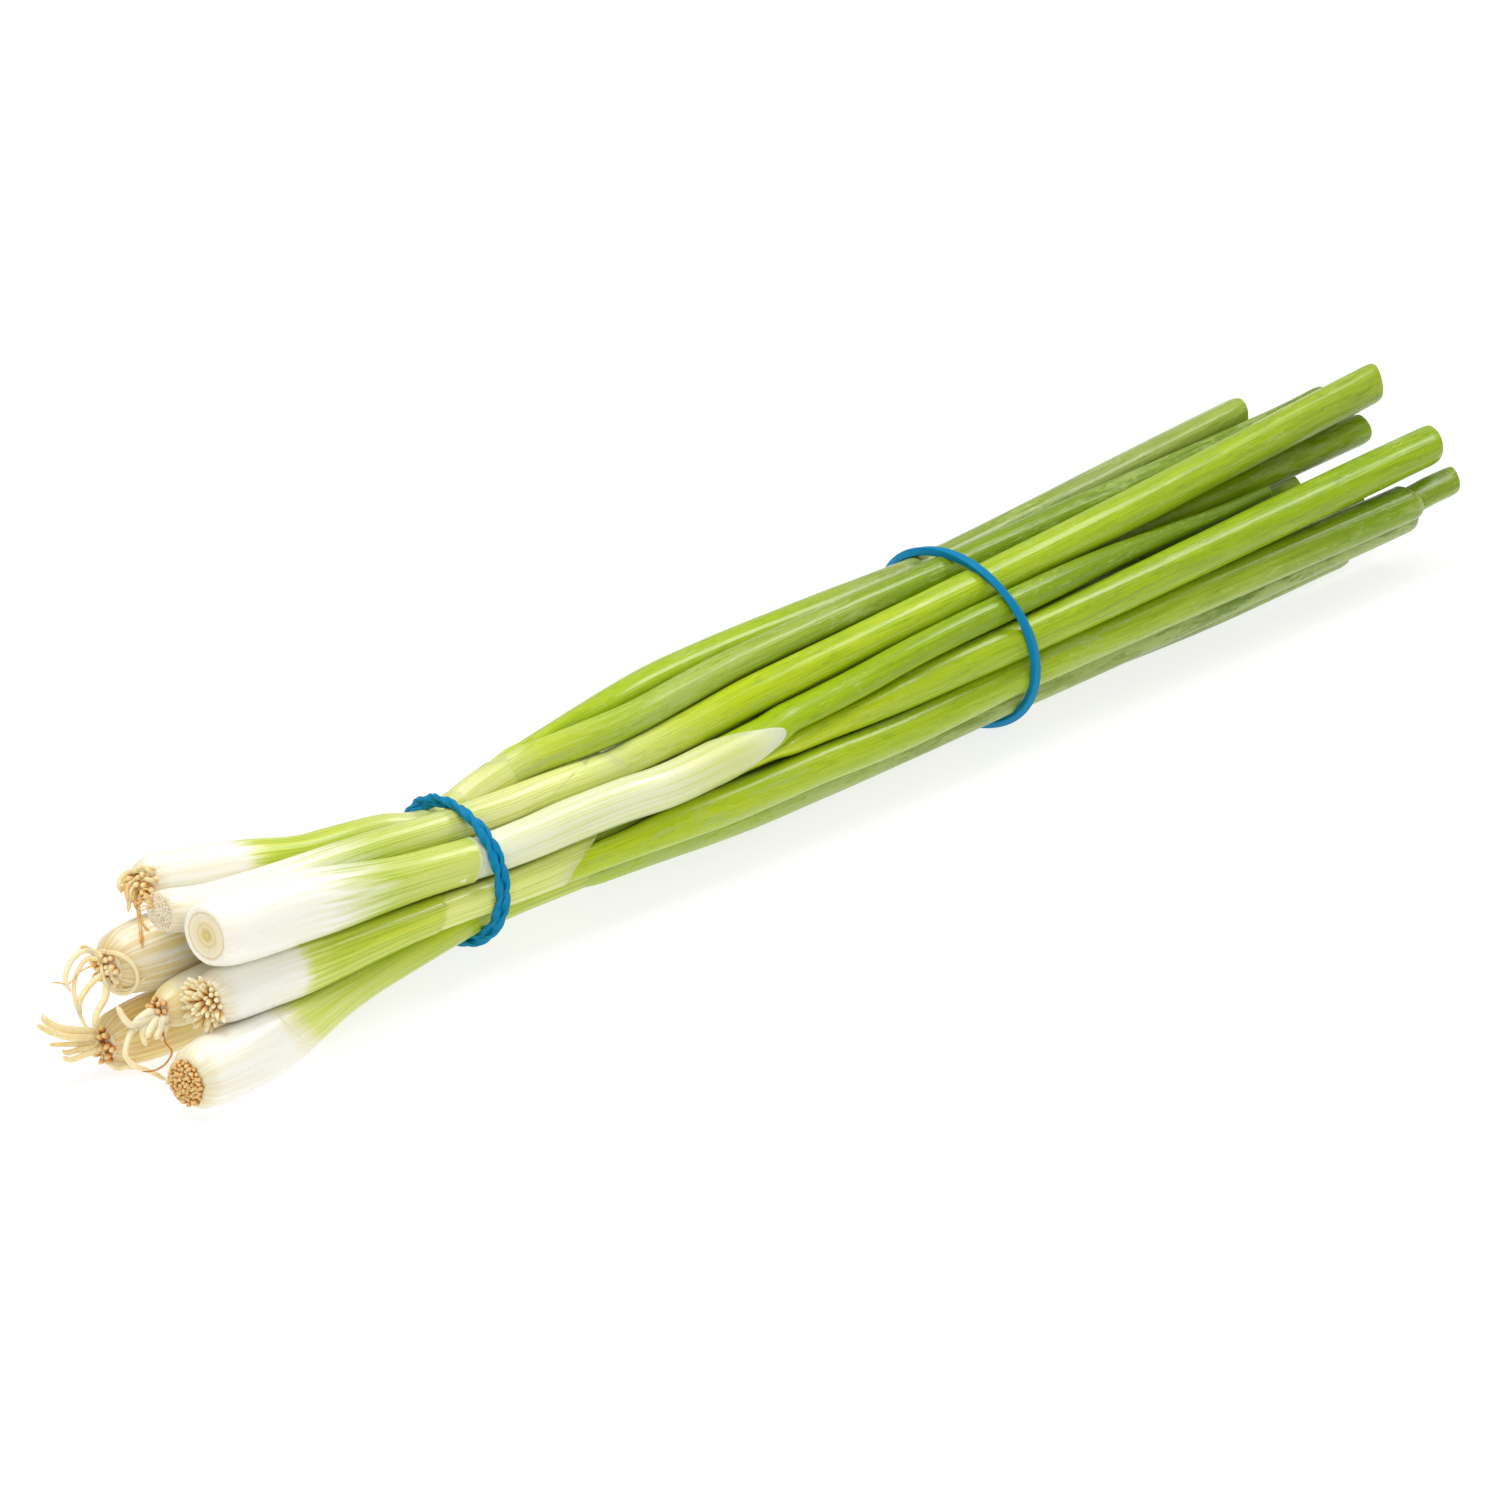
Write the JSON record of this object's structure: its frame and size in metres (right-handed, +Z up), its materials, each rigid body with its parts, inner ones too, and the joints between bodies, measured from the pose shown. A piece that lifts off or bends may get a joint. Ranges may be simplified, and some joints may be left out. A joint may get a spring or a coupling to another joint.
{
  "type": "spring onion bunch",
  "caption": "Spring onions with white bulbs, trimmed roots and hollow green leaves, lying as a bunch held by rubber bands at the bulb end and the leaf end.",
  "frame": {"origin": "on the table, under the middle of the bunch's bounding box", "axes": "+X runs along the bunch from the roots to the cut leaf ends, +Z up from the table"},
  "size_m": [0.3746, 0.0414, 0.0397],
  "materials": {
    "onion_bulb": "moist, smooth onion skin, white at the bulb and pale green up the shank",
    "onion_leaf": "smooth green leaf with a light waxy bloom and fine lengthwise veins",
    "onion_root": "dry, cream to tan root fibres",
    "blue_rubber": "satin blue rubber band"
  },
  "bodies": {
    "root": {"band_bulb_end": "blue_rubber", "band_leaf_end": "blue_rubber", "onion_1_bulb_and_shank": "onion_bulb", "onion_1_leaf_a": "onion_leaf", "onion_1_leaf_b": "onion_leaf", "onion_1_roots": "onion_root", "onion_2_bulb_and_shank": "onion_bulb", "onion_2_leaf_a": "onion_leaf", "onion_2_leaf_b": "onion_leaf", "onion_2_roots": "onion_root", "onion_3_bulb_and_shank": "onion_bulb", "onion_3_leaf_a": "onion_leaf", "onion_3_leaf_b": "onion_leaf", "onion_4_bulb_and_shank": "onion_bulb", "onion_4_leaf_a": "onion_leaf", "onion_4_leaf_b": "onion_leaf", "onion_4_roots": "onion_root", "onion_5_bulb_and_shank": "onion_bulb", "onion_5_leaf_a": "onion_leaf", "onion_5_leaf_b": "onion_leaf", "onion_5_roots": "onion_root", "onion_6_bulb_and_shank": "onion_bulb", "onion_6_leaf_a": "onion_leaf", "onion_6_leaf_b": "onion_leaf", "onion_6_roots": "onion_root", "onion_7_bulb_and_shank": "onion_bulb", "onion_7_leaf_a": "onion_leaf", "onion_7_leaf_b": "onion_leaf", "onion_7_roots": "onion_root", "onion_8_bulb_and_shank": "onion_bulb", "onion_8_leaf_a": "onion_leaf", "onion_8_leaf_b": "onion_leaf", "onion_8_roots": "onion_root"}
  },
  "joints": []
}
